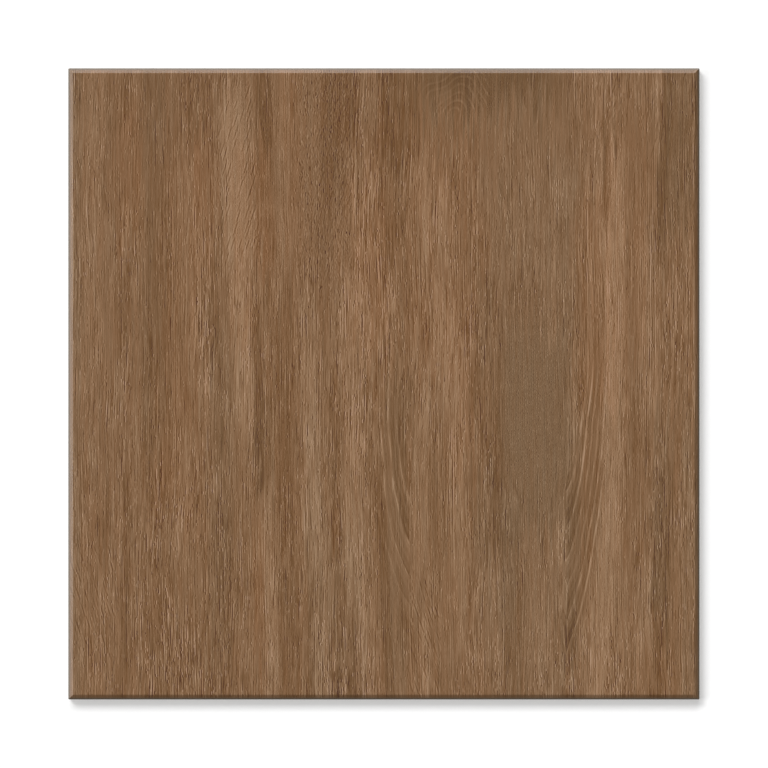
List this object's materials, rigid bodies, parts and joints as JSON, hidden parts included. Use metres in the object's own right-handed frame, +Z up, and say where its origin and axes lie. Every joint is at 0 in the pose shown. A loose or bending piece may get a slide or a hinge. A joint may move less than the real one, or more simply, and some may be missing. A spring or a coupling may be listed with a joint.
{
  "type": "wood-look porcelain tile",
  "caption": "Square glazed porcelain floor tile with a printed wood grain, a softly bevelled pressed edge and a waffle-keyed back for adhesive.",
  "frame": {"origin": "middle of the back, on the crests of its ribs, so the tile lies on z = 0", "axes": "+Z up out of the glazed face, +Y along the printed grain, +X across the grain"},
  "size_m": [0.45, 0.45, 0.009],
  "materials": {
    "glazed_porcelain": "satin"
  },
  "bodies": {
    "root": {"porcelain_tile": "glazed_porcelain"}
  },
  "joints": []
}
